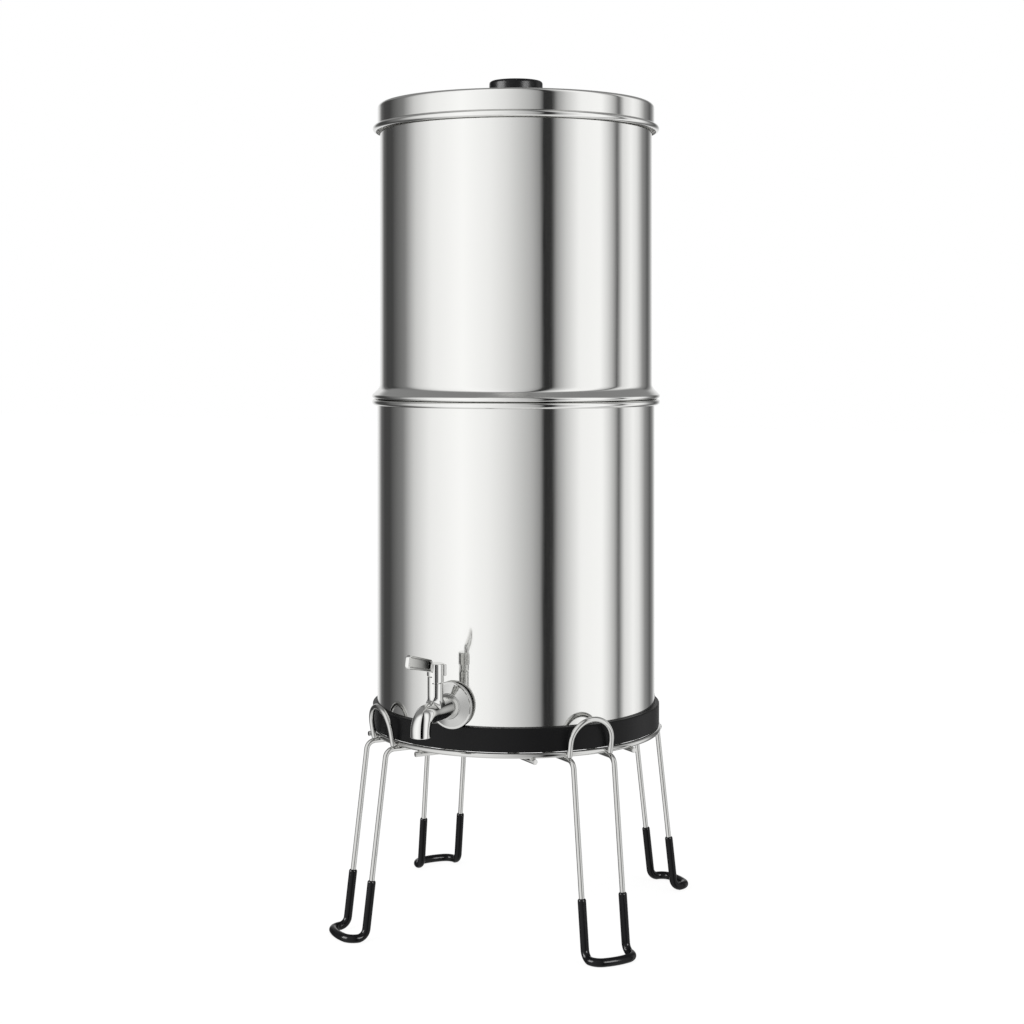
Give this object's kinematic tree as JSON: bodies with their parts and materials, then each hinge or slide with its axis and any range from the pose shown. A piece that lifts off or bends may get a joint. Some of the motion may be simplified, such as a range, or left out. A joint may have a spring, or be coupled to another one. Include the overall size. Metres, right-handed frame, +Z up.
{
  "type": "gravity water filter with tap",
  "caption": "Countertop gravity water filter: stacked polished steel chambers with a knobbed lid and a lever tap, standing on a bent wire stand with coated feet.",
  "frame": {"origin": "on the chambers' common axis at the level that the feet stand on", "axes": "+Z up along the chambers' axis, -Y towards the tap's spout, +X to the right of someone facing the tap"},
  "size_m": [0.2614, 0.3087, 0.647],
  "materials": {
    "polished_stainless": "mirror-polished stainless steel sheet",
    "stainless_wire": "electropolished stainless steel wire",
    "tap_stainless": "polished cast and machined stainless steel",
    "screw_steel": "plain stainless screw",
    "silicone_rubber": "satin moulded silicone rubber",
    "dipped_vinyl": "glossy dip-coated vinyl",
    "knob_plastic": "satin moulded phenolic plastic",
    "filter_carbon": "fine-pored pressed carbon block",
    "filter_plastic": "moulded polypropylene",
    "nut_nylon": "moulded nylon"
  },
  "bodies": {
    "stand": {"stand_ring": "stainless_wire", "leg_front_right": "stainless_wire", "foot_coat_front_right": "dipped_vinyl", "arch_front_right": "stainless_wire", "leg_rear_right": "stainless_wire", "foot_coat_rear_right": "dipped_vinyl", "arch_rear_right": "stainless_wire", "leg_rear_left": "stainless_wire", "foot_coat_rear_left": "dipped_vinyl", "arch_rear_left": "stainless_wire", "leg_front_left": "stainless_wire", "foot_coat_front_left": "dipped_vinyl", "arch_front_left": "stainless_wire"},
    "lower": {"lower_chamber": "polished_stainless", "base_band": "silicone_rubber", "tap_body": "tap_stainless", "tap_flange": "tap_stainless", "tap_outer_washer": "silicone_rubber", "tap_inner_washer": "silicone_rubber", "tap_nut": "tap_stainless"},
    "lever": {"tap_lever": "tap_stainless", "lever_grub_screw": "screw_steel", "valve_core": "tap_stainless", "valve_seal_rings": "silicone_rubber"},
    "upper": {"upper_chamber": "polished_stainless", "filter_element_left": "filter_carbon", "filter_base_left": "filter_plastic", "filter_washer_left": "silicone_rubber", "wing_nut_left": "nut_nylon", "filter_element_right": "filter_carbon", "filter_base_right": "filter_plastic", "filter_washer_right": "silicone_rubber", "wing_nut_right": "nut_nylon"},
    "lid": {"lid": "polished_stainless", "lid_knob": "knob_plastic", "lid_knob_washer": "silicone_rubber", "lid_knob_screw": "screw_steel"}
  },
  "joints": [
    {"name": "lower_lift", "type": "slide", "parent": "stand", "child": "lower", "axis": [0, 0, 1], "range_m": [0, 0.06]},
    {"name": "upper_lift", "type": "slide", "parent": "lower", "child": "upper", "axis": [0, 0, 1], "range_m": [0, 0.06]},
    {"name": "lid_lift", "type": "slide", "parent": "upper", "child": "lid", "axis": [0, 0, 1], "range_m": [0, 0.04]},
    {"name": "tap_turn", "type": "hinge", "parent": "lower", "child": "lever", "pos_m": [0, -0.1352, 0.2], "axis": [0, 0, 1], "range_deg": [0, 90]}
  ]
}
